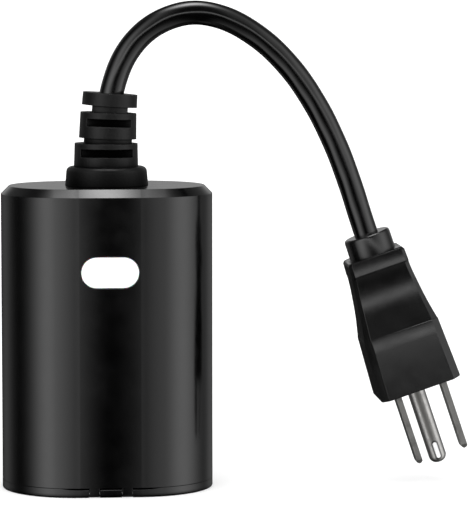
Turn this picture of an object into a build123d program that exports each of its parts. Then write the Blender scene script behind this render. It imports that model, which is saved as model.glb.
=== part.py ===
from build123d import *
import os
from math import cos, radians, sin

# Outdoor smart plug: a weatherproof housing with a capped outlet in its lower end, and a short
# flexible cord from its top to a moulded grounding plug.
# Frame: origin at the centre of the closed cap's bottom face, +Z up, button on the -Y side,
# cord arching towards +X. All sizes in millimetres.

# ---- housing ----
BODY_WIDTH = 56.0
BODY_DEPTH = 40.0
BODY_TOP = 80.4
PARTING_Z = 2.5
WALL = 2.2
TOP_WALL = 2.4
TOP_CHAMFER = 2.1
FRONT_Y = -BODY_DEPTH / 2
REAR_Y = BODY_DEPTH / 2
INNER_Y = BODY_DEPTH / 2 - WALL
INNER_TOP = BODY_TOP - TOP_WALL
EMBED = 0.5  # how far a rib runs into the wall it grows from

# ---- socket face: pattern of a 15 A grounding outlet ----
BLADE_PITCH = 12.7
GROUND_PITCH = 11.9
SLOT_Y = GROUND_PITCH / 2
GROUND_Y = -GROUND_PITCH / 2
FACE_Z = 1.3
PLATE_INSET = WALL + 0.15
PLATE_TOP = 5.5
SLOT_WIDTH = 1.9
NEUTRAL_SLOT = 8.6
HOT_SLOT = 6.9
GROUND_HOLE_WIDTH = 5.9
GROUND_HOLE_HEIGHT = 6.6
SLOT_BORDER = 0.35

# ---- ledge, gasket and snap hooks ----
GASKET_THICKNESS = 0.8
LEDGE_Z = PLATE_TOP + GASKET_THICKNESS
LEDGE_HEIGHT = 1.5
LEDGE_INSET = 4.0
HOOK_WIDTH = 6.0
HOOK_SPACING = 16.0
HOOK_THICKNESS = 1.2
HOOK_ROOT_Y = 14.2

# ---- weather cap, hinge and latch ----
CAP_HEIGHT = 2.4
CAP_FLOOR = 1.2
CAP_RIM = 1.6
HINGE_Y = -18.9
HINGE_Z = 1.1
HINGE_PIN_R = 0.5
HINGE_PIN_LENGTH = 15.2
HINGE_BOSS_LENGTH = 16.0
KNUCKLE_R = 1.05
KNUCKLE_START = 3.0
KNUCKLE_END = 5.6
KNUCKLE_GAP = 0.15
SWING_R = 1.36  # what the cap's front edge turns within, just under the shell
SWING_WIDTH = 29.2
TONGUE_TOP = 4.3
LATCH_Y = REAR_Y + 1.2
LATCH_Z = 1.3
LATCH_R = 1.1
LATCH_PIN_R = 0.45
LATCH_NECK = 9.2
LATCH_GRIP = 10.6
EAR_START = 5.5
EAR_END = 7.1
CATCH_TOP = 5.8
CATCH_REACH = 0.55
CATCH_WIDTH = 8.0
PIN_CLEARANCE = 0.05

# ---- power button and its switch ----
BUTTON_Z = 58.9
BUTTON_LENGTH = 15.0
BUTTON_HEIGHT = 8.0
BUTTON_GAP = 0.2
BUTTON_PROUD = 0.1
FLANGE_BORDER = 1.2
FLANGE_THICKNESS = 1.0
STEM_R = 1.5
SWITCH_SIZE = 6.0
SWITCH_FRONT_Y = -15.4
PLUNGER_R = 1.7
PLUNGER_FRONT_Y = -16.0
PLUNGER_BACK_Y = -14.8

# ---- circuit board ----
BOARD_WIDTH = 40.0
BOARD_BOTTOM = 22.0
BOARD_TOP = 76.0
BOARD_FRONT_Y = -12.8
BOARD_BACK_Y = -11.2
BOARD_GAP = 0.1  # between the board and what is soldered to it, or holds it

# ---- strain relief ----
COLLAR_R = 11.0
COLLAR_HEIGHT = 5.0
BOOT_STEM_R = 6.9
BOOT_STEM_BOTTOM = 74.0
CLIP_GROOVE_R = 5.4
CLIP_THICKNESS = 1.8
SEAL_BOTTOM = BODY_TOP - 1.7
SEAL_TOP = BODY_TOP - 0.7
SEAL_R = 7.9
# segments of the boot: bottom and top height, radius, centre in x, lean towards +X in degrees
BOOT_SEGMENTS = (
    (BODY_TOP + COLLAR_HEIGHT, 91.5, 8.5, -0.15, 0.5),
    (92.8, 99.6, 7.6, 0.3, 2.0),
    (101.3, 104.7, 7.3, 0.8, 4.0),
)
BOOT_WEBS = (6.2, 4.5)  # half widths of the webs that bridge the gaps between segments
BOOT_WINDOWS = ((88.0, 90.1, 13.6), (96.0, 98.0, 11.8))  # bottom, top and width
WINDOW_CORE = 4.6  # half of what the windows leave between them

# ---- cord ----
CORD_R = 3.2
WIRE_R = 1.0
CORD_START_Z = 72.0
YAW_STATION = 33.2  # arc lengths along the cord, from its inner end
LIFT_STATION = 41.0
ARCH_STATION = 68.0
NECK_STATION = 137.5
TWIST_GAP = 1.0
BEND_GAP = 1.6

# ---- plug: pattern of a 15 A grounding plug ----
PLUG_TILT = 18.7
PLUG_FACE = (83.1, 0, 26.0)
PLUG_LENGTH = 43.2
BLADE_Y = -5.0
PIN_Y = BLADE_Y + GROUND_PITCH
BLADE_THICKNESS = 1.5
BLADE_WIDTH = 6.35
BLADE_LENGTH = 19.0
BLADE_ROOT = 13.0
GROUND_PIN_R = 2.38
GROUND_PIN_LENGTH = 23.0
GROUND_ROOT_R = 2.0
PLUG_COLLAR_R = 6.3
PLUG_COLLAR_HEIGHT = 5.5

os.makedirs("parts", exist_ok=True)


def obround(inset, mode=Mode.ADD):
    """The housing's outline, moved inwards by inset, in the sketch that is open."""
    SlotOverall(BODY_WIDTH - 2 * inset, BODY_DEPTH - 2 * inset, mode=mode)


def save(piece, name):
    """Label a finished piece and write it as the node of that name."""
    piece.part.label = name
    export_step(piece.part, f"parts/{name}.step")


def ground_outline(shrink=0.0):
    """Arched outline of the ground hole, its round side towards the blade slots."""
    radius = GROUND_HOLE_WIDTH / 2 - shrink
    centre = GROUND_Y + GROUND_HOLE_HEIGHT / 2 - GROUND_HOLE_WIDTH / 2
    bottom = GROUND_Y - GROUND_HOLE_HEIGHT / 2 + shrink
    with Locations((0, centre)):
        Circle(radius)
    with Locations((0, (centre + bottom) / 2)):
        Rectangle(2 * radius, centre - bottom)


# ======================= cord route =======================

PLUG_AXIS = Vector(-sin(radians(PLUG_TILT)), 0, cos(radians(PLUG_TILT)))
PLUG_ACROSS = Vector(cos(radians(PLUG_TILT)), 0, sin(radians(PLUG_TILT)))
PLUG_ORIGIN = Vector(*PLUG_FACE)
PLUG_ENTRY = PLUG_ORIGIN + PLUG_AXIS * PLUG_LENGTH
PLUG_PLANE = Plane(origin=PLUG_ORIGIN, x_dir=PLUG_ACROSS, z_dir=PLUG_AXIS)
PLUG_FRONT = Plane(origin=PLUG_ORIGIN, x_dir=PLUG_ACROSS, z_dir=(0, -1, 0))
PLUG_SIDE = Plane(origin=PLUG_ORIGIN, x_dir=(0, 1, 0), z_dir=PLUG_ACROSS)

with BuildLine() as cord_route:
    cord_curve = Spline(
        (0, 0, CORD_START_Z),
        (0.1, 0, 92),
        (1.8, 0, 106.4),
        (8.3, 0, 119.0),
        (22.3, 0, 125.8),
        (40.8, 0, 119.0),
        (55.5, 0, 101.6),
        (63.6, 0, 84.0),
        PLUG_ENTRY,
        tangents=((0, 0, 1), -PLUG_AXIS),
    )


def cord_piece(name, start, end, radius=CORD_R):
    """Stretch of round cord between two arc lengths along the route."""
    length = cord_curve.length
    stretch = cord_curve.trim(start / length, end / length)
    with BuildPart() as piece:
        with BuildSketch(Plane(origin=stretch @ 0, z_dir=stretch % 0)):
            Circle(radius)
        sweep(path=stretch)
    save(piece, name)
    return piece


def boot_plane(x, height, lean):
    """Plane across the strain relief, leaning towards +X by an angle in degrees."""
    return Plane(origin=(x, 0, height), z_dir=(sin(radians(lean)), 0, cos(radians(lean))))


cord_tail = cord_piece("cord_tail", 0, YAW_STATION - TWIST_GAP / 2)
cord_piece("cord_exit", YAW_STATION + TWIST_GAP / 2, LIFT_STATION - BEND_GAP / 2)
cord_piece("cord_arch", LIFT_STATION + BEND_GAP / 2, ARCH_STATION - BEND_GAP / 2)
cord_piece("cord_drop", ARCH_STATION + BEND_GAP / 2, NECK_STATION - BEND_GAP / 2)

# ======================= housing shell =======================

with BuildPart() as body_shell:
    with BuildSketch(Plane.XY.offset(PARTING_Z)):
        obround(0)
    extrude(amount=BODY_TOP - PARTING_Z)
    chamfer(body_shell.edges().group_by(Axis.Z)[-1], TOP_CHAMFER)
    with BuildSketch(Plane.XY.offset(PARTING_Z)):
        obround(WALL)
    extrude(amount=INNER_TOP - PARTING_Z, mode=Mode.SUBTRACT)
    # inner ledge that the gasket seals against
    with BuildSketch(Plane.XY.offset(LEDGE_Z)):
        obround(WALL - EMBED)
        obround(LEDGE_INSET, mode=Mode.SUBTRACT)
    extrude(amount=LEDGE_HEIGHT)
    # ribs that guide both edges of the circuit board
    rail_height = INNER_TOP + EMBED - BOARD_BOTTOM
    with BuildSketch(Plane.XY.offset(BOARD_BOTTOM)):
        for side in (-1, 1):
            with Locations((side * 18.8, BOARD_FRONT_Y - BOARD_GAP - 0.8)):
                Rectangle(2.6, 1.6)
            with Locations((side * 21.0, BOARD_BACK_Y + BOARD_GAP + 0.8)):
                Rectangle(4.0, 1.6)
    extrude(amount=rail_height)
    # cord opening in the top, with the groove of its seal
    with BuildSketch(Plane.XY.offset(INNER_TOP)):
        Circle(BOOT_STEM_R + BOARD_GAP)
    extrude(amount=TOP_WALL, mode=Mode.SUBTRACT)
    with BuildSketch(Plane.XY.offset(SEAL_BOTTOM)):
        Circle(SEAL_R)
    extrude(amount=SEAL_TOP - SEAL_BOTTOM, mode=Mode.SUBTRACT)
    # button opening, and the flat pocket behind it for flange and seal
    with BuildSketch(Plane.XZ.offset(REAR_Y)):
        with Locations((0, BUTTON_Z)):
            SlotOverall(BUTTON_LENGTH + 2 * BUTTON_GAP, BUTTON_HEIGHT + 2 * BUTTON_GAP)
    extrude(amount=-2 * WALL, mode=Mode.SUBTRACT)
    with BuildSketch(Plane.XZ.offset(INNER_Y)):
        with Locations((0, BUTTON_Z)):
            Rectangle(BUTTON_LENGTH + 8, BUTTON_HEIGHT + 8)
    extrude(amount=-FLANGE_THICKNESS, mode=Mode.SUBTRACT)
    # two knuckles of the cap's hinge, hanging from the front wall
    tab_height = PARTING_Z + EMBED - HINGE_Z
    for start in (-KNUCKLE_END, KNUCKLE_START):
        with BuildSketch(Plane.YZ.offset(start)):
            with Locations((HINGE_Y, HINGE_Z)):
                Circle(KNUCKLE_R)
            with Locations((HINGE_Y, HINGE_Z + tab_height / 2)):
                Rectangle(2 * KNUCKLE_R, tab_height)
        extrude(amount=KNUCKLE_END - KNUCKLE_START)
    with BuildSketch(Plane.YZ.offset(-HINGE_PIN_LENGTH / 2)):
        with Locations((HINGE_Y, HINGE_Z)):
            Circle(HINGE_PIN_R)
    extrude(amount=HINGE_PIN_LENGTH, mode=Mode.SUBTRACT)
    # wedge on the rear wall that the latch hooks over
    with BuildSketch(Plane.YZ.offset(-CATCH_WIDTH / 2)):
        with BuildLine():
            Polyline(
                (REAR_Y - EMBED, CATCH_TOP - 2),
                (REAR_Y, CATCH_TOP - 1.6),
                (REAR_Y + CATCH_REACH, CATCH_TOP - 0.7),
                (REAR_Y + CATCH_REACH, CATCH_TOP),
                (REAR_Y - EMBED, CATCH_TOP),
                close=True,
            )
        make_face()
    extrude(amount=CATCH_WIDTH)
save(body_shell, "body_shell")

# ======================= socket end =======================

with BuildPart() as socket_plate:
    with BuildSketch(Plane.XY.offset(FACE_Z)):
        obround(PLATE_INSET)
    extrude(amount=PLATE_TOP - FACE_Z)
    fillet(socket_plate.edges().group_by(Axis.Z)[0], 0.6)
    with BuildSketch(Plane.XY.offset(FACE_Z)):
        with Locations((BLADE_PITCH / 2, SLOT_Y)):
            Rectangle(SLOT_WIDTH, NEUTRAL_SLOT)
        with Locations((-BLADE_PITCH / 2, SLOT_Y)):
            Rectangle(SLOT_WIDTH, HOT_SLOT)
        ground_outline()
    extrude(amount=PLATE_TOP - FACE_Z, mode=Mode.SUBTRACT)
    face = socket_plate.faces().sort_by(Axis.Z)[0]
    chamfer([edge for wire in face.inner_wires() for edge in wire.edges()], SLOT_BORDER)
    # snap hooks that catch over the shell's inner ledge
    ledge_top = LEDGE_Z + LEDGE_HEIGHT
    hook_front = HOOK_ROOT_Y + HOOK_THICKNESS
    for centre in (-HOOK_SPACING / 2, HOOK_SPACING / 2):
        for side in (-1, 1):
            with BuildSketch(Plane.YZ.offset(centre - HOOK_WIDTH / 2)):
                with BuildLine():
                    Polyline(
                        (side * HOOK_ROOT_Y, PLATE_TOP - EMBED),
                        (side * hook_front, PLATE_TOP - EMBED),
                        (side * hook_front, ledge_top + 0.2),
                        (side * (hook_front + 1.2), ledge_top + 0.2),
                        (side * hook_front, ledge_top + 1.8),
                        (side * HOOK_ROOT_Y, ledge_top + 1.8),
                        close=True,
                    )
                make_face()
            extrude(amount=HOOK_WIDTH)
save(socket_plate, "socket_plate")

with BuildPart() as face_gasket:
    with BuildSketch(Plane.XY.offset(PLATE_TOP)):
        obround(WALL + 0.1)
        obround(LEDGE_INSET + 0.2, mode=Mode.SUBTRACT)
    extrude(amount=GASKET_THICKNESS)
save(face_gasket, "face_gasket")

CONTACT_BOTTOM = 6.4
CONTACT_TOP = 16.0
CONTACT_WEB = 0.8
TAIL_TOP = 22.5
LEAF_THICKNESS = 0.5
LEAF_GAP = BLADE_THICKNESS + 0.1


def blade_contact(name, x, leaf_width):
    """Pair of spring leaves for one blade, joined at the top, with a solder tail."""
    with BuildPart() as contact:
        with BuildSketch(Plane.XY.offset(CONTACT_BOTTOM)):
            for side in (-1, 1):
                with Locations((x + side * (LEAF_GAP + LEAF_THICKNESS) / 2, SLOT_Y)):
                    Rectangle(LEAF_THICKNESS, leaf_width)
        extrude(amount=CONTACT_TOP - CONTACT_BOTTOM)
        with BuildSketch(Plane.XY.offset(CONTACT_TOP)):
            with Locations((x, SLOT_Y)):
                Rectangle(LEAF_GAP + 2 * LEAF_THICKNESS, leaf_width)
        extrude(amount=CONTACT_WEB)
        with BuildSketch(Plane.XY.offset(CONTACT_TOP)):
            with Locations((x, SLOT_Y)):
                Rectangle(CONTACT_WEB, 4)
        extrude(amount=TAIL_TOP - CONTACT_TOP)
    save(contact, name)


blade_contact("neutral_contact", BLADE_PITCH / 2, 6.6)
blade_contact("hot_contact", -BLADE_PITCH / 2, 5.8)

GROUND_SLEEVE_R = GROUND_PIN_R + 0.07

with BuildPart() as ground_contact:
    with BuildSketch(Plane.XY.offset(CONTACT_BOTTOM)):
        with Locations((0, GROUND_Y)):
            Circle(GROUND_SLEEVE_R + LEAF_THICKNESS)
            Circle(GROUND_SLEEVE_R, mode=Mode.SUBTRACT)
        with Locations((0, GROUND_Y - GROUND_SLEEVE_R)):
            Rectangle(1.0, 2.0, mode=Mode.SUBTRACT)
    extrude(amount=CONTACT_TOP - CONTACT_BOTTOM)
    with BuildSketch(Plane.XY.offset(CONTACT_TOP)):
        with Locations((0, GROUND_Y)):
            Circle(GROUND_SLEEVE_R + LEAF_THICKNESS)
    extrude(amount=CONTACT_WEB)
    with BuildSketch(Plane.XY.offset(CONTACT_TOP)):
        with Locations((0, GROUND_Y)):
            Rectangle(4, CONTACT_WEB)
    extrude(amount=TAIL_TOP - CONTACT_TOP)
save(ground_contact, "ground_contact")

with BuildPart() as contact_carrier:
    with BuildSketch(Plane.XY.offset(PLATE_TOP)):
        RectangleRounded(24, 24, 2)
        for side, pocket in ((1, 9.0), (-1, 7.6)):
            with Locations((side * BLADE_PITCH / 2, SLOT_Y)):
                Rectangle(4.4, pocket, mode=Mode.SUBTRACT)
        with Locations((0, GROUND_Y)):
            Circle(3.6, mode=Mode.SUBTRACT)
    extrude(amount=CONTACT_TOP - PLATE_TOP)
save(contact_carrier, "contact_carrier")

# ======================= weather cap and latch =======================

with BuildPart() as weather_cap:
    with BuildSketch():
        obround(0)
    extrude(amount=CAP_HEIGHT)
    fillet(weather_cap.edges().group_by(Axis.Z)[0], 0.5)
    with BuildSketch(Plane.XY.offset(CAP_FLOOR)):
        obround(CAP_RIM)
    extrude(amount=CAP_HEIGHT, mode=Mode.SUBTRACT)
    # front edge rounded about the hinge line, so that it turns clear of the shell
    with BuildSketch(Plane.YZ.offset(-SWING_WIDTH / 2)):
        with Locations((HINGE_Y - SWING_R, HINGE_Z + SWING_R)):
            Rectangle(2 * SWING_R, 2 * SWING_R)
        with Locations((HINGE_Y, HINGE_Z)):
            Circle(SWING_R, mode=Mode.SUBTRACT)
    extrude(amount=SWING_WIDTH, mode=Mode.SUBTRACT)
    # boss around the hinge pin, with slots for the shell's two knuckles
    with BuildSketch(Plane.YZ.offset(-HINGE_BOSS_LENGTH / 2)):
        with Locations((HINGE_Y, HINGE_Z)):
            Circle(KNUCKLE_R)
    extrude(amount=HINGE_BOSS_LENGTH)
    slot_back = HINGE_Y + KNUCKLE_R + KNUCKLE_GAP
    with BuildSketch():
        for side in (-1, 1):
            with Locations((side * (KNUCKLE_START + KNUCKLE_END) / 2, slot_back - WALL)):
                Rectangle(KNUCKLE_END - KNUCKLE_START + 2 * KNUCKLE_GAP, 2 * WALL)
    extrude(amount=CAP_HEIGHT, mode=Mode.SUBTRACT)
    with BuildSketch(Plane.YZ.offset(-HINGE_PIN_LENGTH / 2)):
        with Locations((HINGE_Y, HINGE_Z)):
            Circle(HINGE_PIN_R + PIN_CLEARANCE)
    extrude(amount=HINGE_PIN_LENGTH, mode=Mode.SUBTRACT)
    # tongues that plug the slots: a flat plate for each blade slot, an arched wall for the ground
    with BuildSketch(Plane.XY.offset(CAP_FLOOR - EMBED)):
        for side in (-1, 1):
            with Locations((side * BLADE_PITCH / 2, SLOT_Y)):
                Rectangle(1.2, 5.8)
        with Locations((0, GROUND_Y - 0.2)):
            Circle(2.3)
            Circle(1.3, mode=Mode.SUBTRACT)
        with Locations((0, GROUND_Y - 2.4)):
            Rectangle(6, 4, mode=Mode.SUBTRACT)
    extrude(amount=TONGUE_TOP - CAP_FLOOR + EMBED)
    # shallow round marks on the inner face
    with BuildSketch(Plane.XY.offset(CAP_FLOOR - 0.2)):
        with Locations((-22, 0), (22, 0), (-14, 13), (14, 13)):
            Circle(0.9)
    extrude(amount=CAP_HEIGHT, mode=Mode.SUBTRACT)
    # two ears that carry the latch
    for start in (-EAR_END, EAR_START):
        with BuildSketch(Plane.YZ.offset(start)):
            with Locations((LATCH_Y, LATCH_Z)):
                Circle(LATCH_R)
            with Locations((LATCH_Y - 1.25, LATCH_Z)):
                Rectangle(2.5, 2 * LATCH_R)
        extrude(amount=EAR_END - EAR_START)
    with BuildSketch(Plane.YZ.offset(-EAR_END)):
        with Locations((LATCH_Y, LATCH_Z)):
            Circle(LATCH_PIN_R)
    extrude(amount=2 * EAR_END, mode=Mode.SUBTRACT)
save(weather_cap, "weather_cap")

with BuildPart() as hinge_pin:
    with BuildSketch(Plane.YZ.offset(-HINGE_PIN_LENGTH / 2)):
        with Locations((HINGE_Y, HINGE_Z)):
            Circle(HINGE_PIN_R)
    extrude(amount=HINGE_PIN_LENGTH)
save(hinge_pin, "hinge_pin")

with BuildPart() as latch_pin:
    with BuildSketch(Plane.YZ.offset(-EAR_END)):
        with Locations((LATCH_Y, LATCH_Z)):
            Circle(LATCH_PIN_R)
    extrude(amount=2 * EAR_END)
save(latch_pin, "latch_pin")

ARM_BACK_Y = REAR_Y + 0.75
ARM_FRONT_Y = ARM_BACK_Y + 1.35
HOOK_UNDER_Z = CATCH_TOP + 0.1
GRIP_BOTTOM = 6.4
LATCH_TOP = 8.9

with BuildPart() as cap_latch:
    # barrel and arm
    with BuildSketch(Plane.YZ.offset(-LATCH_NECK / 2)):
        with Locations((LATCH_Y, LATCH_Z)):
            Circle(LATCH_R)
        with Locations(((ARM_BACK_Y + ARM_FRONT_Y) / 2, (LATCH_Z + LATCH_TOP) / 2)):
            Rectangle(ARM_FRONT_Y - ARM_BACK_Y, LATCH_TOP - LATCH_Z)
        with BuildLine():
            Polyline(
                (ARM_BACK_Y, HOOK_UNDER_Z),
                (REAR_Y + 0.2, HOOK_UNDER_Z),
                (REAR_Y + 0.2, HOOK_UNDER_Z + 0.5),
                (ARM_BACK_Y, HOOK_UNDER_Z + 1.2),
                close=True,
            )
        make_face()
    extrude(amount=LATCH_NECK)
    # thicker finger grip, bevelled towards its free end
    with BuildSketch(Plane.YZ.offset(-LATCH_GRIP / 2)):
        with BuildLine():
            Polyline(
                (ARM_BACK_Y, GRIP_BOTTOM),
                (ARM_FRONT_Y, GRIP_BOTTOM),
                (ARM_FRONT_Y + 0.9, GRIP_BOTTOM + 0.6),
                (ARM_FRONT_Y + 0.9, LATCH_TOP - 0.9),
                (ARM_FRONT_Y, LATCH_TOP),
                (ARM_BACK_Y, LATCH_TOP),
                close=True,
            )
        make_face()
    extrude(amount=LATCH_GRIP)
    grip_corners = cap_latch.edges().filter_by(Axis.Y).group_by(Axis.Z)[-1]
    chamfer(grip_corners, 1.2)
    with BuildSketch(Plane.YZ.offset(-LATCH_NECK / 2)):
        with Locations((LATCH_Y, LATCH_Z)):
            Circle(LATCH_PIN_R + PIN_CLEARANCE)
    extrude(amount=LATCH_NECK, mode=Mode.SUBTRACT)
save(cap_latch, "cap_latch")

# ======================= button and switch =======================

FLANGE_FRONT_Y = -INNER_Y + 0.1
STEM_END_Y = PLUNGER_FRONT_Y - 0.02

with BuildPart() as power_button:
    with BuildSketch(Plane.XZ.offset(REAR_Y + BUTTON_PROUD)):
        with Locations((0, BUTTON_Z)):
            SlotOverall(BUTTON_LENGTH, BUTTON_HEIGHT)
    extrude(amount=-(REAR_Y + BUTTON_PROUD + FLANGE_FRONT_Y))
    fillet(power_button.edges().group_by(Axis.Y)[0], 0.3)
    with BuildSketch(Plane.XZ.offset(-FLANGE_FRONT_Y)):
        with Locations((0, BUTTON_Z)):
            SlotOverall(BUTTON_LENGTH + 2 * FLANGE_BORDER, BUTTON_HEIGHT + 2 * FLANGE_BORDER)
    extrude(amount=-FLANGE_THICKNESS)
    with BuildSketch(Plane.XZ.offset(-FLANGE_FRONT_Y)):
        with Locations((0, BUTTON_Z)):
            Circle(STEM_R)
    extrude(amount=-(STEM_END_Y - FLANGE_FRONT_Y))
save(power_button, "power_button")

with BuildPart() as button_seal:
    with BuildSketch(Plane.XZ.offset(INNER_Y)):
        with Locations((0, BUTTON_Z)):
            SlotOverall(BUTTON_LENGTH + 5.6, BUTTON_HEIGHT + 5.6)
            SlotOverall(BUTTON_LENGTH + 2.8, BUTTON_HEIGHT + 2.8, mode=Mode.SUBTRACT)
    extrude(amount=-0.9)
save(button_seal, "button_seal")

with BuildPart() as switch_plunger:
    with BuildSketch(Plane.XZ.offset(-PLUNGER_FRONT_Y)):
        with Locations((0, BUTTON_Z)):
            Circle(PLUNGER_R)
    extrude(amount=-(PLUNGER_BACK_Y - PLUNGER_FRONT_Y))
save(switch_plunger, "switch_plunger")

with BuildPart() as tact_switch:
    with BuildSketch(Plane.XZ.offset(-SWITCH_FRONT_Y)):
        with Locations((0, BUTTON_Z)):
            RectangleRounded(SWITCH_SIZE, SWITCH_SIZE, 0.6)
    extrude(amount=-(BOARD_FRONT_Y - SWITCH_FRONT_Y))
    with BuildSketch(Plane.XZ.offset(-SWITCH_FRONT_Y)):
        with Locations((0, BUTTON_Z)):
            Circle(PLUNGER_R + PIN_CLEARANCE)
    extrude(amount=-1.4, mode=Mode.SUBTRACT)
save(tact_switch, "tact_switch")

# ======================= electronics =======================

with BuildPart() as circuit_board:
    with BuildSketch(Plane.XZ.offset(-BOARD_FRONT_Y)):
        with Locations((0, (BOARD_BOTTOM + BOARD_TOP) / 2)):
            Rectangle(BOARD_WIDTH, BOARD_TOP - BOARD_BOTTOM)
    extrude(amount=-(BOARD_BACK_Y - BOARD_FRONT_Y))
save(circuit_board, "circuit_board")


def board_block(name, x, z, width, height, depth, corner=0.5):
    """Block-shaped part on the board's rear face, centred at x and z."""
    with BuildPart() as block:
        with BuildSketch(Plane.XZ.offset(-BOARD_BACK_Y)):
            with Locations((x, z)):
                RectangleRounded(width, height, corner)
        extrude(amount=-depth)
    save(block, name)


def board_can(name, x, z, radius, depth):
    """Round part that stands on the board's rear face, centred at x and z."""
    with BuildPart() as can:
        with BuildSketch(Plane.XZ.offset(-BOARD_BACK_Y)):
            with Locations((x, z)):
                Circle(radius)
        extrude(amount=-depth)
        fillet(can.edges().group_by(Axis.Y)[-1], 0.6)
    save(can, name)


board_block("relay", -9.5, 38.5, 15.5, 19.0, 15.0)
board_block("transformer", 9.8, 37.0, 13.5, 15.0, 13.0)
board_block("filter_capacitor", 13.0, 49.5, 6.0, 8.0, 11.0)
board_block("wifi_module", 0.0, 58.5, 16.0, 7.0, 3.0)
board_can("bulk_capacitor", -13.0, 54.5, 4.0, 12.0)
board_can("fuse", 14.5, 57.5, 2.5, 8.0)

with BuildPart() as varistor:
    with BuildSketch(Plane.YZ.offset(5.0)):
        with Locations((BOARD_BACK_Y + 5.0, 50.0)):
            Circle(4.8)
    extrude(amount=3.0)
save(varistor, "varistor")

with BuildPart() as status_led:
    with BuildSketch(Plane.XZ.offset(-BOARD_FRONT_Y)):
        with Locations((5.5, BUTTON_Z)):
            Rectangle(1.6, 3.2)
    extrude(amount=0.8)
save(status_led, "status_led")


def wire(name, *points, leave, arrive):
    """Insulated conductor through the given points, with its direction at both ends."""
    with BuildPart() as piece:
        with BuildLine() as route:
            curve = Spline(*points, tangents=(leave, arrive))
        with BuildSketch(Plane(origin=curve @ 0, z_dir=curve % 0)):
            Circle(WIRE_R)
        sweep(path=route.wires()[0])
    save(piece, name)


DOWN = (0, 0, -1)
SPREAD = 1.25  # distance of each conductor from the cord's centre line
WIRE_START_Z = CORD_START_Z - BOARD_GAP
TAIL_END_Z = TAIL_TOP + BOARD_GAP
JOINT_Y = BOARD_BACK_Y + BOARD_GAP

wire(
    "ground_wire",
    (0, SPREAD, WIRE_START_Z),
    (0, 8, 62),
    (0, 10, 44),
    (0, GROUND_Y, TAIL_END_Z),
    leave=DOWN,
    arrive=DOWN,
)
for side, feed, link in ((-1, "line_wire", "hot_link_wire"), (1, "neutral_wire", "neutral_link_wire")):
    wire(
        feed,
        (side * SPREAD, -0.8, WIRE_START_Z),
        (side * 5, -5, 68),
        (side * 8, JOINT_Y, 67),
        leave=DOWN,
        arrive=(0, -1, 0),
    )
    wire(
        link,
        (side * 14, JOINT_Y, 26),
        (side * 12, -3, 26.5),
        (side * BLADE_PITCH / 2, SLOT_Y, TAIL_END_Z),
        leave=(0, 1, 0),
        arrive=DOWN,
    )

# ======================= strain relief =======================

with BuildPart() as strain_relief:
    with BuildSketch(Plane.XY.offset(BOOT_STEM_BOTTOM)):
        Circle(BOOT_STEM_R)
    extrude(amount=BODY_TOP - BOOT_STEM_BOTTOM)
    with BuildSketch(Plane.XY.offset(BODY_TOP)):
        Circle(COLLAR_R)
    extrude(amount=COLLAR_HEIGHT, taper=5)
    fillet(strain_relief.edges().group_by(Axis.Z)[-1], 1.4)
    # groove for the retaining clip
    with BuildSketch(Plane.XY.offset(INNER_TOP - CLIP_THICKNESS - BOARD_GAP)):
        Circle(BOOT_STEM_R)
        Circle(CLIP_GROOVE_R, mode=Mode.SUBTRACT)
    extrude(amount=CLIP_THICKNESS + BOARD_GAP, mode=Mode.SUBTRACT)
    for low, high, radius, x, lean in BOOT_SEGMENTS:
        with BuildSketch(boot_plane(x, low, lean)):
            Circle(radius)
        extrude(amount=high - low, taper=1.5)
    # webs at front and rear bridge the gaps between segments
    for web_half, below, above in zip(BOOT_WEBS, BOOT_SEGMENTS, BOOT_SEGMENTS[1:]):
        with BuildSketch(boot_plane(above[3], below[1] - EMBED, above[4])):
            Circle(above[2] - 0.2)
            Rectangle(2 * web_half, 4 * web_half, mode=Mode.INTERSECT)
        extrude(amount=above[0] - below[1] + 2 * EMBED)
    # windows at front and rear leave webs at the sides
    for (low, high, width), segment in zip(BOOT_WINDOWS, BOOT_SEGMENTS):
        with BuildSketch(boot_plane(segment[3], low, segment[4])):
            for side in (-1, 1):
                with Locations((0, side * (WINDOW_CORE + 4))):
                    Rectangle(width, 8)
        extrude(amount=high - low, mode=Mode.SUBTRACT)
    add(cord_tail.part, mode=Mode.SUBTRACT)
save(strain_relief, "strain_relief")

with BuildPart() as gland_seal:
    with BuildSketch(Plane.XY.offset(SEAL_BOTTOM)):
        Circle(SEAL_R)
        Circle(BOOT_STEM_R, mode=Mode.SUBTRACT)
    extrude(amount=SEAL_TOP - SEAL_BOTTOM)
save(gland_seal, "gland_seal")

with BuildPart() as relief_clip:
    with BuildSketch(Plane.XY.offset(INNER_TOP - CLIP_THICKNESS)):
        RectangleRounded(22, 20, 2)
        Circle(CLIP_GROOVE_R + BOARD_GAP, mode=Mode.SUBTRACT)
        with Locations((0, 10)):
            Rectangle(2 * CLIP_GROOVE_R, 20, mode=Mode.SUBTRACT)
    extrude(amount=CLIP_THICKNESS - BOARD_GAP)
save(relief_clip, "relief_clip")

# ======================= plug =======================

CARRIER_BOTTOM = 3.0
CARRIER_HEIGHT = 6.0


def flat_blade(name, x):
    """Flat blade with a bevelled tip and a root inside the moulding."""
    with BuildPart() as blade:
        with BuildSketch(PLUG_PLANE.offset(-BLADE_LENGTH)):
            with Locations((x, BLADE_Y)):
                Rectangle(BLADE_THICKNESS, BLADE_WIDTH)
        extrude(amount=BLADE_LENGTH + BLADE_ROOT)
        tip = blade.faces().sort_by(Axis(PLUG_ORIGIN, PLUG_AXIS))[0]
        short_edges = tip.edges() - tip.edges().filter_by(Axis.Y)
        chamfer(short_edges, 1.2)
        tip = blade.faces().sort_by(Axis(PLUG_ORIGIN, PLUG_AXIS))[0]
        chamfer(tip.edges().filter_by(Axis.Y), 0.5)
    save(blade, name)
    return blade


line_blade = flat_blade("line_blade", -BLADE_PITCH / 2)
neutral_blade = flat_blade("neutral_blade", BLADE_PITCH / 2)

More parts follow.
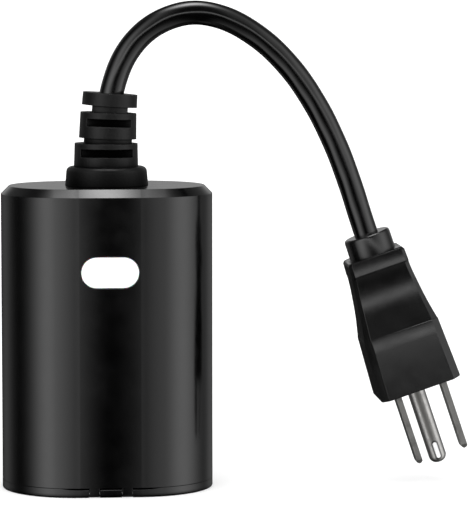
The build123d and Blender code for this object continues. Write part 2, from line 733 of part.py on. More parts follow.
with BuildPart() as ground_pin:
    with BuildSketch(PLUG_PLANE.offset(-GROUND_PIN_LENGTH)):
        with Locations((0, PIN_Y)):
            Circle(GROUND_PIN_R)
    extrude(amount=GROUND_PIN_LENGTH)
    with BuildSketch(PLUG_PLANE):
        with Locations((0, PIN_Y)):
            Circle(GROUND_ROOT_R)
    extrude(amount=BLADE_ROOT)
    tip = ground_pin.faces().sort_by(Axis(PLUG_ORIGIN, PLUG_AXIS))[0]
    fillet(tip.edges(), 2.0)
save(ground_pin, "ground_pin")

with BuildPart() as blade_carrier:
    with BuildSketch(PLUG_PLANE.offset(CARRIER_BOTTOM)):
        RectangleRounded(17, 18.4, 1.5)
    extrude(amount=CARRIER_HEIGHT)
    for metal in (line_blade, neutral_blade, ground_pin):
        add(metal.part, mode=Mode.SUBTRACT)
save(blade_carrier, "blade_carrier")

CORD_DEPTH = 16.0  # how far the cord's jacket runs into the plug


def plug_wire(name, x, y):
    """Conductor from the end of the cord's jacket to the root of one blade."""
    jacket_end = PLUG_LENGTH - CORD_DEPTH
    start = PLUG_PLANE.from_local_coords(Vector(x * 0.15, y * 0.15, jacket_end))
    middle = PLUG_PLANE.from_local_coords(Vector(x * 0.6, y * 0.6, jacket_end - 6))
    end = PLUG_PLANE.from_local_coords(Vector(x, y, BLADE_ROOT))
    with BuildPart() as piece:
        with BuildLine() as route:
            curve = Spline(start, middle, end, tangents=(-PLUG_AXIS, -PLUG_AXIS))
        with BuildSketch(Plane(origin=curve @ 0, z_dir=curve % 0)):
            Circle(0.6)
        sweep(path=route.wires()[0])
    save(piece, name)
    return piece


plug_wires = [
    plug_wire("plug_line_wire", -BLADE_PITCH / 2, BLADE_Y),
    plug_wire("plug_neutral_wire", BLADE_PITCH / 2, BLADE_Y),
    plug_wire("plug_ground_wire", 0, PIN_Y),
]

with BuildPart() as cord_plug_end:
    stretch = cord_curve.trim((NECK_STATION + BEND_GAP / 2) / cord_curve.length, 1)
    with BuildSketch(Plane(origin=stretch @ 0, z_dir=stretch % 0)):
        Circle(CORD_R)
    sweep(path=stretch)
    with BuildSketch(PLUG_PLANE.offset(PLUG_LENGTH - CORD_DEPTH)):
        Circle(CORD_R)
    extrude(amount=CORD_DEPTH)
save(cord_plug_end, "cord_plug_end")

with BuildPart() as plug_body:
    # front outline: block that widens to the face, flaring neck, flat shoulder
    with BuildSketch(PLUG_FRONT):
        with BuildLine():
            Line((11.1, 0), (10.45, 16))
            Spline(
                (10.45, 16), (9.5, 21), (8.8, 26), (8.3, 30), (7.95, 34),
                tangents=((-0.15, 1), (-0.05, 1)),
            )
            Polyline((7.95, 34), (7.85, 37.0), (7.15, 37.7), (0, 37.7))
            mirror(about=Plane.YZ)
            Line((11.1, 0), (-11.1, 0))
        make_face()
    extrude(amount=16, both=True)
    # side outline: deep block, finger grips hollowed into front and rear
    with BuildSketch(PLUG_SIDE):
        with BuildLine():
            Polyline((0, 0), (10.4, 0), (10.0, 16.9), (9.0, 17.4))
            Spline((9.0, 17.4), (7.2, 22.5), (6.2, 28), (6.3, 33), tangents=((-0.5, 1), (0.1, 1)))
            Polyline((6.3, 33), (7.2, 33.6), (7.2, 37.7), (0, 37.7))
            mirror(about=Plane.YZ)
        make_face()
    extrude(amount=16, both=True, mode=Mode.INTERSECT)
    # bevels on the block's four long edges
    with BuildSketch(PLUG_PLANE) as bevelled:
        Rectangle(22.4, 21.2)
        chamfer(bevelled.vertices(), 2.0)
    extrude(amount=PLUG_LENGTH, taper=2.0, mode=Mode.INTERSECT)
    # round collar around the cord
    with BuildSketch(PLUG_PLANE.offset(PLUG_LENGTH - PLUG_COLLAR_HEIGHT - EMBED)):
        Circle(PLUG_COLLAR_R)
    extrude(amount=PLUG_COLLAR_HEIGHT + EMBED)
    for inner in (line_blade, neutral_blade, ground_pin, blade_carrier, cord_plug_end, *plug_wires):
        add(inner.part, mode=Mode.SUBTRACT)
save(plug_body, "plug_body")
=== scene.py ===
import math

import bmesh
import bpy
import numpy as np
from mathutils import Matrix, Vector


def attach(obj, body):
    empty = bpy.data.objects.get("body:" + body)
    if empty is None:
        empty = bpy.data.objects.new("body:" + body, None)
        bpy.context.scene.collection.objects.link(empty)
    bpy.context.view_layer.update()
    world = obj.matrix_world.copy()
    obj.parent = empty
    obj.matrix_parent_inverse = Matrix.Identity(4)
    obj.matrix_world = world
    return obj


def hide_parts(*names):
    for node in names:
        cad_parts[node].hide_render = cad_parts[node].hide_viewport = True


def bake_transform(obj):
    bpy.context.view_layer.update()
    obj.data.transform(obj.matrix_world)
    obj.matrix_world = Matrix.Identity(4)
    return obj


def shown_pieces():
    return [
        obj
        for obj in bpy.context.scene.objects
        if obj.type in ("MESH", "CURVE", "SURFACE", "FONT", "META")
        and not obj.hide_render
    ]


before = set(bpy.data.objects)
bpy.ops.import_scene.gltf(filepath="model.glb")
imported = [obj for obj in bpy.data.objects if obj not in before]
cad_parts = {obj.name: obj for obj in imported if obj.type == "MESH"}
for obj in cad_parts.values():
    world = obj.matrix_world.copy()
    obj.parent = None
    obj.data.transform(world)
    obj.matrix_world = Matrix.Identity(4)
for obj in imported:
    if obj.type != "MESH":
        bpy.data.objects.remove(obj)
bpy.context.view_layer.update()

MM = 0.001
PLASTIC_IOR = 1.5
BODY_FLAT = 8 * MM  # half width of the flat front of housing and cap
BODY_ROUND = 20 * MM  # radius of their round ends
CROWN_REACH = 14.2 * MM
SLOT_BELOW_FACE = 19.4 * MM  # middle of the ground pin's slot
SLOT_HALF_LENGTH = 1.7 * MM
BLACK = (0.0004, 0.0004, 0.00045)
PLUG_TILT = math.radians(18.7)
PLUG_FACE = Vector((83.1, 0, 26.0)) * MM


# ======================= node helpers =======================


def add_node(tree, kind, inputs=None, **settings):
    """New shader or geometry node; inputs maps a socket name or number to a value or a socket."""
    made = tree.nodes.new(kind)
    for name, value in settings.items():
        setattr(made, name, value)
    for name, value in (inputs or {}).items():
        if isinstance(value, bpy.types.NodeSocket):
            tree.links.new(value, made.inputs[name])
        else:
            made.inputs[name].default_value = value
    return made


def math_node(tree, operation, first, second=0.0, clamp=False):
    made = add_node(tree, "ShaderNodeMath", {0: first, 1: second}, operation=operation)
    made.use_clamp = clamp
    return made.outputs[0]


def noise(tree, where, scale, detail=3.0, roughness=0.5):
    inputs = {"Vector": where, "Scale": scale, "Detail": detail, "Roughness": roughness}
    return add_node(tree, "ShaderNodeTexNoise", inputs).outputs["Fac"]


def remap(tree, value, low, high, new_low, new_high):
    inputs = {0: value, 1: low, 2: high, 3: new_low, 4: new_high}
    return add_node(tree, "ShaderNodeMapRange", inputs).outputs[0]


def mix_colour(tree, share, first, second):
    made = add_node(tree, "ShaderNodeMix", data_type="RGBA")
    for socket, value in ((0, share), (6, first), (7, second)):
        if isinstance(value, bpy.types.NodeSocket):
            tree.links.new(value, made.inputs[socket])
        else:
            made.inputs[socket].default_value = value
    return made.outputs[2]


def bump(tree, height, depth, normal=None):
    inputs = {"Height": height, "Distance": depth, "Strength": 1.0}
    if normal is not None:
        inputs["Normal"] = normal
    return add_node(tree, "ShaderNodeBump", inputs).outputs["Normal"]


def bell(tree, value, centre, spread):
    """exp(-((value - centre) / spread)^2)"""
    share = math_node(tree, "DIVIDE", math_node(tree, "SUBTRACT", value, centre), spread)
    square = math_node(tree, "MULTIPLY", share, share)
    return math_node(tree, "EXPONENT", math_node(tree, "MULTIPLY", square, -1.0))


def rgba(colour):
    return (*colour, 1.0)


# ======================= materials =======================


class Surface:
    """A principled material that is built up layer by layer."""

    def __init__(self, name, attribute=None):
        self.material = bpy.data.materials.new(name)
        self.material.use_nodes = True
        self.tree = self.material.node_tree
        self.tree.nodes.clear()
        output = add_node(self.tree, "ShaderNodeOutputMaterial")
        self.shader = add_node(self.tree, "ShaderNodeBsdfPrincipled")
        self.tree.links.new(self.shader.outputs[0], output.inputs["Surface"])
        if attribute:
            place = add_node(self.tree, "ShaderNodeAttribute", attribute_name=attribute)
            self.where = place.outputs["Vector"]
        else:
            self.where = add_node(self.tree, "ShaderNodeTexCoord").outputs["Object"]
        self.normal = None

    def set(self, **values):
        for name, value in values.items():
            socket = self.shader.inputs[name.replace("_", " ")]
            if isinstance(value, bpy.types.NodeSocket):
                self.tree.links.new(value, socket)
            else:
                socket.default_value = value

    def round_edges(self, radius):
        made = add_node(self.tree, "ShaderNodeBevel", {"Radius": radius}, samples=6)
        self.normal = made.outputs[0]

    def edge_mask(self, radius):
        """0 on faces, rising to 1 on edges."""
        bevel = add_node(self.tree, "ShaderNodeBevel", {"Radius": radius}, samples=6)
        geometry = add_node(self.tree, "ShaderNodeNewGeometry")
        inputs = {0: bevel.outputs[0], 1: geometry.outputs["Normal"]}
        dot = add_node(self.tree, "ShaderNodeVectorMath", inputs, operation="DOT_PRODUCT")
        return remap(self.tree, dot.outputs["Value"], 0.995, 0.85, 0.0, 1.0)

    def grain(self, scale, depth):
        height = noise(self.tree, self.where, scale, 2.0)
        self.normal = bump(self.tree, height, depth, self.normal)

    def done(self):
        if self.normal is not None:
            self.tree.links.new(self.normal, self.shader.inputs["Normal"])
        return self.material


def moulded(name, colour, roughness, grain_scale=5200, grain_depth=0.004 * MM, edge=0.2 * MM,
            wear=0.25, dust=0.5, attribute=None, waviness=0.012 * MM):
    """Moulded plastic or rubber: fine mould grain, slow waviness, smudges, paler worn edges."""
    s = Surface(name, attribute)
    t = s.tree
    if edge:
        s.round_edges(edge)
    slow = noise(t, s.where, 55, 2.0)
    s.normal = bump(t, slow, waviness, s.normal)
    s.grain(grain_scale, grain_depth)
    smudge = noise(t, s.where, 140, 4.0, 0.6)
    specks = noise(t, s.where, 2600, 2.0)
    rough = math_node(t, "ADD", remap(t, smudge, 0.35, 0.7, -0.035, 0.045), roughness)
    rough = math_node(t, "ADD", rough, remap(t, specks, 0.4, 0.7, -0.015, 0.02))
    pale = tuple(min(1.0, c * 2.2 + 0.012) for c in colour)
    tone = mix_colour(t, math_node(t, "MULTIPLY", smudge, 0.35 * dust), rgba(colour), rgba(pale))
    if edge and wear:
        worn = math_node(t, "MULTIPLY", s.edge_mask(2.2 * edge), wear)
        scuffed = math_node(t, "MULTIPLY", worn, remap(t, specks, 0.35, 0.65, 0.2, 1.0))
        tone = mix_colour(t, scuffed, tone, rgba(tuple(min(1.0, c * 4 + 0.03) for c in colour)))
        rough = math_node(t, "ADD", rough, math_node(t, "MULTIPLY", scuffed, 0.12))
    s.set(Base_Color=tone, Roughness=rough, IOR=PLASTIC_IOR)
    return s


def metal(name, colour, roughness, brushed=(1.0, 1.0, 1.0)):
    """Plated or plain metal with fine drawn lines, finger marks and slight tarnish."""
    s = Surface(name)
    t = s.tree
    s.round_edges(0.1 * MM)
    stretched = add_node(t, "ShaderNodeMapping", {"Vector": s.where, "Scale": brushed})
    lines = noise(t, stretched.outputs[0], 3000, 4.0, 0.6)
    s.normal = bump(t, lines, 0.003 * MM, s.normal)
    marks = noise(t, s.where, 420, 4.0, 0.6)
    rough = math_node(t, "ADD", remap(t, marks, 0.35, 0.7, -0.05, 0.08), roughness)
    dull = tuple(c * 0.72 for c in colour)
    tone = mix_colour(t, remap(t, marks, 0.45, 0.75, 0.0, 0.7), rgba(colour), rgba(dull))
    s.set(Base_Color=tone, Metallic=1.0, Roughness=rough)
    return s


def crown(surface, flat, radius, reach):
    """Shade the flat front and rear as if bowed towards the round ends; the mesh stays flat."""
    t = surface.tree
    x = add_node(t, "ShaderNodeSeparateXYZ", {0: surface.where}).outputs[0]
    away = math_node(t, "MINIMUM", math_node(t, "ABSOLUTE", x), reach)
    bend = (reach - flat) / (radius * reach)
    fall = math_node(t, "MULTIPLY", math_node(t, "MULTIPLY", away, away), -0.5 * bend)
    past = math_node(t, "MAXIMUM", math_node(t, "SUBTRACT", away, flat), 0.0)
    rise = math_node(t, "MULTIPLY", math_node(t, "MULTIPLY", past, past), 0.5 / radius)
    surface.normal = bump(t, math_node(t, "ADD", fall, rise), 1.0, surface.normal)


def shade_hollows(surface, reach, depth, specular, power=2.0):
    """Darken narrow gaps and hollows, as in the shade of soft light."""
    t = surface.tree
    sky = add_node(t, "ShaderNodeAmbientOcclusion", {"Distance": reach}, samples=8).outputs["AO"]
    share = remap(t, math_node(t, "POWER", sky, power), 0.0, 1.0, 1.0 - depth, 1.0)
    base = surface.shader.inputs["Base Color"]
    tone = base.links[0].from_socket if base.links else tuple(base.default_value)
    surface.set(Base_Color=mix_colour(t, share, rgba((0, 0, 0)), tone),
                Specular_IOR_Level=math_node(t, "MULTIPLY", share, specular))


def formed_pin():
    """Nickel plated pin with the slot near its tip painted on as a pale patch, not cut; the patch
    is painted light seen through the slot, ringed by painted shade.
    """
    s = metal("nickel_pin", (0.36, 0.355, 0.345), 0.36, brushed=(1.0, 1.0, 0.15))
    t = s.tree
    place = add_node(t, "ShaderNodeVectorMath", {0: s.where, 1: PLUG_FACE}, operation="SUBTRACT")
    turned = add_node(t, "ShaderNodeVectorRotate", {"Vector": place.outputs[0], "Angle": PLUG_TILT},
                      rotation_type="Y_AXIS")
    across, _, height = add_node(t, "ShaderNodeSeparateXYZ", {0: turned.outputs[0]}).outputs
    past = math_node(t, "ABSOLUTE", math_node(t, "ADD", height, SLOT_BELOW_FACE))
    past = math_node(t, "MAXIMUM", math_node(t, "SUBTRACT", past, SLOT_HALF_LENGTH), 0.0)
    square = math_node(t, "ADD", math_node(t, "MULTIPLY", across, across),
                       math_node(t, "MULTIPLY", past, past))
    away = math_node(t, "SQRT", square)
    # painted shade: a dark ring where the slot's walls would lie in shade
    slot_wall_shade = remap(t, away, 0.8 * MM, 1.15 * MM, 1.0, 0.0)
    # painted light: a pale, non-metal patch where the bright floor would show through the slot
    slot = remap(t, away, 0.45 * MM, 0.65 * MM, 1.0, 0.0)
    metal_tone = s.shader.inputs["Base Color"].links[0].from_socket
    tone = mix_colour(t, slot_wall_shade, metal_tone, rgba((0.1, 0.1, 0.1)))
    s.set(Base_Color=mix_colour(t, slot, tone, rgba((0.9, 0.9, 0.9))),
          Metallic=math_node(t, "SUBTRACT", 1.0, slot))
    return s.done()


shell_surface = moulded("shell_satin_black", BLACK, 0.16, grain_depth=0.0012 * MM, wear=0.05,
                        dust=0.02, waviness=0.004 * MM)
crown(shell_surface, BODY_FLAT, BODY_ROUND, CROWN_REACH)
shell_black = shell_surface.done()
cap_surface = moulded("cap_satin_black", (0.0008, 0.0008, 0.0009), 0.2, grain_depth=0.0015 * MM,
                      edge=0.05 * MM, wear=0.02, dust=0.03)
crown(cap_surface, BODY_FLAT, BODY_ROUND, CROWN_REACH)
shade_hollows(cap_surface, 1.2 * MM, 1.0, 0.5, 4.0)
cap_black = cap_surface.done()
face_black = moulded("face_black", (0.004, 0.004, 0.0042), 0.36, edge=0.15 * MM).done()
boot_surface = moulded("boot_rubber", (0.0016, 0.0016, 0.0016), 0.42, grain_scale=1500,
                       grain_depth=0.06 * MM, edge=0.4 * MM, wear=0.3, dust=0.8)
shade_hollows(boot_surface, 8 * MM, 1.0, 0.2, 2.8)
boot_rubber = boot_surface.done()
cord_rubber = moulded("cord_rubber", (0.0004, 0.0004, 0.0004), 0.15, edge=0.0, dust=0.03,
                      attribute="rest_place", waviness=0.02 * MM).done()
plug_surface = moulded("plug_rubber", (0.0025, 0.0025, 0.0025), 0.19, grain_scale=4200,
                       grain_depth=0.006 * MM, edge=0.15 * MM, wear=0.05, dust=0.15)
shade_hollows(plug_surface, 6 * MM, 0.5, 0.5)
plug_rubber = plug_surface.done()
seal_rubber = moulded("seal_rubber", (0.02, 0.02, 0.02), 0.55).done()
nickel = metal("nickel_plate", (0.42, 0.415, 0.40), 0.34).done()
slotted_nickel = formed_pin()
steel = metal("pin_steel", (0.6, 0.6, 0.6), 0.3).done()
brass = metal("contact_brass", (0.8, 0.62, 0.34), 0.3).done()
aluminium = metal("can_aluminium", (0.75, 0.75, 0.76), 0.3).done()


def button_white():
    """White translucent button with a soft satin face."""
    s = moulded("button_white", (0.86, 0.86, 0.85), 0.3, wear=0.0, dust=0.0)
    s.set(Base_Color=rgba((0.86, 0.86, 0.85)), Subsurface_Weight=0.3, Subsurface_Scale=1.5 * MM)
    return s.done()


def plain_part(name, colour, roughness=0.45):
    return moulded(name, colour, roughness, wear=0.15, dust=0.2).done()


NODE_MATERIALS = {
    shell_black: ("body_shell",),
    cap_black: ("weather_cap", "cap_latch"),
    face_black: ("socket_plate",),
    button_white(): ("power_button",),
    boot_rubber: ("strain_relief",),
    cord_rubber: ("cord_tail",),
    seal_rubber: ("face_gasket", "button_seal", "gland_seal"),
    nickel: ("line_blade", "neutral_blade"),
    slotted_nickel: ("ground_pin",),
    steel: ("hinge_pin", "latch_pin"),
    brass: ("hot_contact", "neutral_contact", "ground_contact"),
    aluminium: ("bulk_capacitor", "wifi_module"),
    plug_rubber: ("plug_body",),
    plain_part("carrier_nylon", (0.7, 0.68, 0.62)): ("contact_carrier", "blade_carrier"),
    plain_part("board_green", (0.02, 0.16, 0.07), 0.3): ("circuit_board",),
    plain_part("relay_blue", (0.05, 0.18, 0.45)): ("relay",),
    plain_part("component_black", (0.02, 0.02, 0.022)): (
        "transformer", "filter_capacitor", "fuse", "tact_switch", "switch_plunger", "relief_clip"),
    plain_part("varistor_blue", (0.04, 0.1, 0.4)): ("varistor",),
    plain_part("led_clear", (0.8, 0.9, 0.85), 0.15): ("status_led",),
    plain_part("wire_black", (0.01, 0.01, 0.01)): ("line_wire", "hot_link_wire", "plug_line_wire"),
    plain_part("wire_white", (0.8, 0.8, 0.78)): (
        "neutral_wire", "neutral_link_wire", "plug_neutral_wire"),
    plain_part("wire_green", (0.02, 0.3, 0.08)): ("ground_wire", "plug_ground_wire"),
}
for material, names in NODE_MATERIALS.items():
    for name in names:
        for material_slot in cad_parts[name].material_slots:
            material_slot.material = material


# ======================= cord =======================

CORD_RADIUS = 3.2 * MM
CORD_SIDES = 56
RING_GAP = 0.5 * MM
TANGENT_STEP = 0.2 * MM
SPLINE_STEPS = 200  # for each stretch between two points of the route
SWELL, SWELL_PITCH = 0.018 * MM, 34 * MM
ROUTE = [  # points on the cord's centre line, in mm, from its inner end to the plug
    (0, 72), (0.1, 92), (1.8, 106.4), (8.3, 119), (22.3, 125.8),
    (40.8, 119), (55.5, 101.6), (63.6, 84), (69.25, 66.92),
]


def clamped_spline(points, start, end):
    """Places along the smooth curve through points that starts and ends in given directions."""
    p = np.array(points, float)
    h = np.linalg.norm(np.diff(p, axis=0), axis=1)
    count = len(p)
    matrix, right = np.zeros((count, count)), np.zeros((count, p.shape[1]))
    matrix[0, 0] = matrix[-1, -1] = 1
    right[0], right[-1] = start, end
    for i in range(1, count - 1):
        matrix[i, i - 1 : i + 2] = h[i], 2 * (h[i - 1] + h[i]), h[i - 1]
        rise = h[i - 1] * (p[i + 1] - p[i]) / h[i] + h[i] * (p[i] - p[i - 1]) / h[i - 1]
        right[i] = 3 * rise
    slopes = np.linalg.solve(matrix, right)
    places = []
    for i in range(count - 1):
        u = np.linspace(0, 1, SPLINE_STEPS, endpoint=i == count - 2)[:, None]
        a, b, m, n = p[i], p[i + 1], slopes[i] * h[i], slopes[i + 1] * h[i]
        places.append(
            (2 * u**3 - 3 * u**2 + 1) * a + (u**3 - 2 * u**2 + u) * m
            + (3 * u**2 - 2 * u**3) * b + (u**3 - u**2) * n
        )
    return np.vstack(places)


tip_direction = (math.sin(PLUG_TILT), -math.cos(PLUG_TILT))
fine = clamped_spline(ROUTE, (0, 1), tip_direction) * MM
run = np.concatenate([[0], np.cumsum(np.linalg.norm(np.diff(fine, axis=0), axis=1))])
CORD_LENGTH = float(run[-1])


def cord_at(distance):
    """Point on the cord's centre line at a distance from its inner end; straight past its end."""
    past = max(0.0, distance - CORD_LENGTH)
    inside = min(distance, CORD_LENGTH)
    x, z = (float(np.interp(inside, run, fine[:, axis])) for axis in (0, 1))
    return Vector((x + past * tip_direction[0], 0, z + past * tip_direction[1]))


def finish_mesh(name, mesh_data, material):
    """Object from a bmesh, shaded smooth except across its sharp edges."""
    mesh = bpy.data.meshes.new(name)
    mesh_data.normal_update()
    mesh_data.to_mesh(mesh)
    mesh_data.free()
    made = bpy.data.objects.new(name, mesh)
    bpy.context.scene.collection.objects.link(made)
    mesh.materials.append(material)
    return made


def keep_places(made):
    """Store each vertex's rest place, so that the surface pattern stays put when the mesh bends."""
    places = made.data.attributes.new("rest_place", "FLOAT_VECTOR", "POINT")
    flat = np.array([v.co for v in made.data.vertices], np.float32).ravel()
    places.data.foreach_set("vector", flat)


def tube(name, start, end):
    """Round jacket between two distances along the cord, swelling slightly over its cores."""
    data = bmesh.new()
    count = max(2, round((end - start) / RING_GAP) + 1)
    across = Vector((0, 1, 0))
    rings = []
    for distance in np.linspace(start, end, count):
        centre = cord_at(distance)
        along = cord_at(distance + TANGENT_STEP) - cord_at(distance - TANGENT_STEP)
        along.normalize()
        side = along.cross(across)
        ring = []
        for k in range(CORD_SIDES):
            angle = 2 * math.pi * k / CORD_SIDES
            swell = SWELL * math.cos(3 * (angle - 2 * math.pi * distance / SWELL_PITCH))
            radius = CORD_RADIUS + swell
            offset = (across * math.cos(angle) + side * math.sin(angle)) * radius
            ring.append(data.verts.new(centre + offset))
        rings.append(ring)
    for low, high in zip(rings, rings[1:]):
        for k in range(CORD_SIDES):
            n = (k + 1) % CORD_SIDES
            face = data.faces.new((low[k], low[n], high[n], high[k]))
            face.smooth = True
    for ring in (rings[0][::-1], rings[-1]):
        cap = data.faces.new(ring)
        for edge in cap.edges:
            edge.smooth = False
    bmesh.ops.recalc_face_normals(data, faces=data.faces)
    made = finish_mesh(name, data, cord_rubber)
    keep_places(made)
    return made


# name, start and end, bodies it joins, where its bend starts and ends, CAD nodes it stands for
CORD_PIECES = (
    ("cord_skin_exit", 20, 38, "housing", "cord_base", 33.3, 36.3, ("cord_tail", "cord_exit")),
    ("cord_skin_rise", 38, 54, "cord_base", "cord_rise", 38, 46, ("cord_arch",)),
    ("cord_skin_fall", 54, 100, "cord_rise", "cord_fall", 56, 80, ("cord_drop",)),
    ("cord_skin_neck", 100, 150, "cord_fall", "plug", 128, 144.5, ("cord_plug_end",)),
)
for name, start, end, before, after, bend_start, bend_end, stands_for in CORD_PIECES:
    piece = tube(name, start * MM, end * MM)
    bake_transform(piece)
    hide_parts(*stands_for)


# ======================= plug moulding =======================

PLUG_AXIS = Vector((-math.sin(PLUG_TILT), 0, math.cos(PLUG_TILT)))
PLUG_ACROSS = Vector((math.cos(PLUG_TILT), 0, math.sin(PLUG_TILT)))

# height above the plug's face, half width, half depth, width of the bevel on the long edges, in mm
PLUG_RINGS = (
    (0.0, 10.8, 10.1, 1.9), (0.35, 11.1, 10.4, 2.0), (4.5, 10.95, 10.09, 2.0),
    (9.0, 10.76, 9.73, 2.0), (13.0, 10.58, 9.36, 2.0), (16.5, 10.43, 9.0, 1.9),
    (16.75, 10.35, 8.92, 1.8), (16.8, 10.3, 8.75, 1.7), (18.6, 9.95, 8.12, 1.5),
    (20.2, 9.65, 7.56, 1.4), (22.0, 9.35, 6.95, 1.3), (24.0, 9.05, 6.42, 1.2),
    (26.0, 8.8, 6.06, 1.1), (28.0, 8.55, 5.84, 1.1), (30.0, 8.3, 5.76, 1.1),
    (31.5, 8.15, 5.82, 1.1), (32.6, 8.05, 6.0, 1.1), (33.4, 8.0, 6.3, 1.1),
    (33.6, 7.97, 7.2, 1.0), (33.9, 7.95, 7.45, 0.9), (36.9, 7.85, 7.12, 0.9),
    (37.5, 7.5, 6.85, 0.8), (37.7, 7.1, 6.5, 0.8),
)
COLLAR_RINGS = (
    (37.0, 6.3), (38.0, 6.3), (42.4, 6.25), (42.9, 6.1), (43.15, 5.75), (43.2, 5.2),
)


def plug_point(across, deep, height):
    return PLUG_FACE + PLUG_ACROSS * across + Vector((0, deep, 0)) + PLUG_AXIS * height


def bridge(data, rings):
    """Skin over a stack of closed rings, with both ends closed."""
    made = [[data.verts.new(place) for place in ring] for ring in rings]
    count = len(made[0])
    for low, high in zip(made, made[1:]):
        for k in range(count):
            n = (k + 1) % count
            data.faces.new((low[k], low[n], high[n], high[k]))
    data.faces.new(made[0][::-1])
    data.faces.new(made[-1])


def plug_skin():
    """Outside of the moulded plug: bevelled block, finger grips, shoulder band and collar."""
    data = bmesh.new()
    block = []
    for height, half, deep, bevel in PLUG_RINGS:
        corners = []
        for sx, sy in ((1, 1), (-1, 1), (-1, -1), (1, -1)):
            ends = [(sx * half, sy * (deep - bevel)), (sx * (half - bevel), sy * deep)]
            corners += ends if sx * sy > 0 else ends[::-1]
        block.append([plug_point(u * MM, v * MM, height * MM) for u, v in corners])
    bridge(data, block)
    collar = []
    for height, radius in COLLAR_RINGS:
        angles = [2 * math.pi * k / 64 for k in range(64)]
        collar.append([plug_point(radius * MM * math.cos(a), radius * MM * math.sin(a), height * MM)
                       for a in angles])
    bridge(data, collar)
    bmesh.ops.recalc_face_normals(data, faces=data.faces)
    for face in data.faces:
        face.smooth = True
    made = finish_mesh("plug_skin", data, plug_rubber)
    made.data.set_sharp_from_angle(angle=math.radians(25))
    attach(made, "plug")
    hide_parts("plug_body")


plug_skin()


# ======================= stage, light and camera =======================


def object_bottom_floor():
    """Pale floor that lies under the lowest point of the object in whatever pose it has."""
    pieces = bpy.data.collections.new("object_pieces")
    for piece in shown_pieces():
        pieces.objects.link(piece)
    data = bmesh.new()
    bmesh.ops.create_grid(data, x_segments=2, y_segments=2, size=30.0)
    floor = finish_mesh("floor", data, floor_white())
    group = bpy.data.node_groups.new("floor_height", "GeometryNodeTree")
    socket = "NodeSocketGeometry"
    group.interface.new_socket("Geometry", in_out="INPUT", socket_type=socket)
    group.interface.new_socket("Geometry", in_out="OUTPUT", socket_type=socket)
    entry = add_node(group, "NodeGroupInput")
    found = add_node(group, "GeometryNodeCollectionInfo", {"Collection": pieces},
                     transform_space="ORIGINAL")
    solid = add_node(group, "GeometryNodeRealizeInstances", {0: found.outputs[0]})
    box = add_node(group, "GeometryNodeBoundBox", {0: solid.outputs[0]})
    lowest = add_node(group, "ShaderNodeSeparateXYZ", {0: box.outputs["Min"]}).outputs[2]
    drop = add_node(group, "ShaderNodeMath", {0: lowest, 1: 0.0}, operation="MINIMUM")
    offset = add_node(group, "ShaderNodeCombineXYZ", {2: drop.outputs[0]})
    inputs = {"Geometry": entry.outputs[0], "Offset": offset.outputs[0]}
    moved = add_node(group, "GeometryNodeSetPosition", inputs)
    leave = add_node(group, "NodeGroupOutput")
    group.links.new(moved.outputs[0], leave.inputs[0])
    floor.modifiers.new("height", "NODES").node_group = group
    floor.visible_glossy = False


def floor_white():
    """White floor, seen only from above."""
    material = bpy.data.materials.new("floor_white")
    material.use_nodes = True
    t = material.node_tree
    t.nodes.clear()
    where = add_node(t, "ShaderNodeTexCoord").outputs["Object"]
    tone = mix_colour(t, noise(t, where, 8.0), rgba((0.80, 0.80, 0.80)), rgba((0.82, 0.82, 0.82)))
    white = add_node(t, "ShaderNodeBsdfDiffuse", {"Color": tone})
    glow = add_node(t, "ShaderNodeEmission", {"Color": tone, "Strength": 0.3})
    lit = add_node(t, "ShaderNodeAddShader", {0: white.outputs[0], 1: glow.outputs[0]})
    clear = add_node(t, "ShaderNodeBsdfTransparent")
    geometry = add_node(t, "ShaderNodeNewGeometry")
    inputs = {0: geometry.outputs["Backfacing"], 1: lit.outputs[0], 2: clear.outputs[0]}
    mixed = add_node(t, "ShaderNodeMixShader", inputs)
    output = add_node(t, "ShaderNodeOutputMaterial")
    t.links.new(mixed.outputs[0], output.inputs["Surface"])
    return material


# soft boxes seen in glossy surfaces: azimuth from the front, half spread, brightness
SOFT_BOXES = (
    (-47, 25, 2.4), (68, 30, 2.2), (33, 10, 0.3), (-135, 22, 0.25), (140, 22, 0.25),
)
DARK_MIDDLE = (3, 9)  # azimuth and half spread of the dark strip that the camera stands in
TOP_LIGHT = (15, 11.0)
# more soft boxes, each also kept to a height: azimuth, half spread, height, half height, brightness
HIGH_BOXES = ((0, 34, 9, 4.5, 2.7), (180, 30, 13, 10, 0.7), (-180, 30, 13, 10, 0.7))
FILL = 0.004
ROOM_LIGHT, ROOM_TOP, ROOM_FRONT = 0.6, 0.7, 1.4


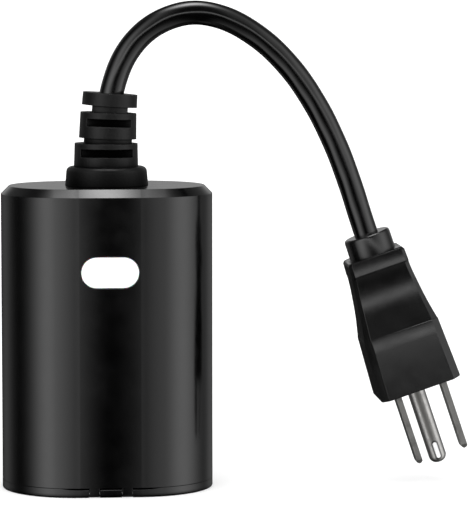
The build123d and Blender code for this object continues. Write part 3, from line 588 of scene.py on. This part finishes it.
def studio_world():
    """White to the camera, even light on matt surfaces, soft boxes for glossy reflections."""
    world = bpy.data.worlds.new("studio")
    bpy.context.scene.world = world
    world.use_nodes = True
    t = world.node_tree
    t.nodes.clear()
    direction = add_node(t, "ShaderNodeTexCoord").outputs["Generated"]
    axes = add_node(t, "ShaderNodeSeparateXYZ", {0: direction})
    x, y, z = axes.outputs
    azimuth = math_node(t, "ARCTAN2", x, math_node(t, "MULTIPLY", y, -1.0))
    degrees = math_node(t, "MULTIPLY", azimuth, 180 / math.pi)
    sides = None
    for centre, spread, power in SOFT_BOXES:
        lit = math_node(t, "MULTIPLY", bell(t, degrees, centre, spread), power)
        sides = lit if sides is None else math_node(t, "ADD", sides, lit)
    height = math_node(t, "ARCSINE", z)
    height = math_node(t, "MULTIPLY", height, 180 / math.pi)
    sides = math_node(t, "MULTIPLY", sides, bell(t, height, 0.0, 55.0))
    gap = math_node(t, "SUBTRACT", 1.0, bell(t, degrees, *DARK_MIDDLE))
    sides = math_node(t, "MULTIPLY", sides, gap)
    spread, power = TOP_LIGHT
    top = math_node(t, "MULTIPLY", bell(t, height, 90.0, spread), power)
    for azimuth_at, azimuth_spread, height_at, height_spread, power in HIGH_BOXES:
        box = math_node(t, "MULTIPLY", bell(t, degrees, azimuth_at, azimuth_spread),
                        bell(t, height, height_at, height_spread))
        top = math_node(t, "ADD", top, math_node(t, "MULTIPLY", box, power))
    glossy = math_node(t, "ADD", math_node(t, "ADD", sides, top), FILL)
    light_path = add_node(t, "ShaderNodeLightPath")
    seen = light_path.outputs["Is Camera Ray"]
    mirrored = light_path.outputs["Is Glossy Ray"]
    above = math_node(t, "MULTIPLY", math_node(t, "MAXIMUM", z, 0.0), ROOM_TOP)
    front = math_node(t, "MAXIMUM", math_node(t, "MULTIPLY", y, -1.0), 0.0)
    ahead = math_node(t, "MULTIPLY", front, ROOM_FRONT)
    room = math_node(t, "ADD", math_node(t, "ADD", above, ahead), ROOM_LIGHT)
    strength = add_node(t, "ShaderNodeMix", {0: mirrored, 2: room, 3: glossy}).outputs[0]
    strength = add_node(t, "ShaderNodeMix", {0: seen, 2: strength, 3: 1.0}).outputs[0]
    inputs = {"Color": rgba((1, 1, 1)), "Strength": strength}
    background = add_node(t, "ShaderNodeBackground", inputs)
    output = add_node(t, "ShaderNodeOutputWorld")
    t.links.new(background.outputs[0], output.inputs[0])


def place_camera():
    """The camera looks at the object from the front, a little from the left and from above."""
    data = bpy.data.cameras.new("camera")
    data.lens = 206.5
    data.sensor_width = 36
    data.clip_end = 100
    camera = bpy.data.objects.new("camera", data)
    bpy.context.scene.collection.objects.link(camera)
    camera.location = Vector((-33.24, -798.95, 133.68)) * MM
    heading, pitch = math.radians(4.808), math.radians(5.304)
    ahead = Vector((
        math.sin(heading) * math.cos(pitch),
        math.cos(heading) * math.cos(pitch),
        -math.sin(pitch),
    ))
    camera.rotation_euler = ahead.to_track_quat("-Z", "Y").to_euler()
    bpy.context.scene.camera = camera


object_bottom_floor()
studio_world()
place_camera()
bpy.context.scene.view_settings.view_transform = "Standard"
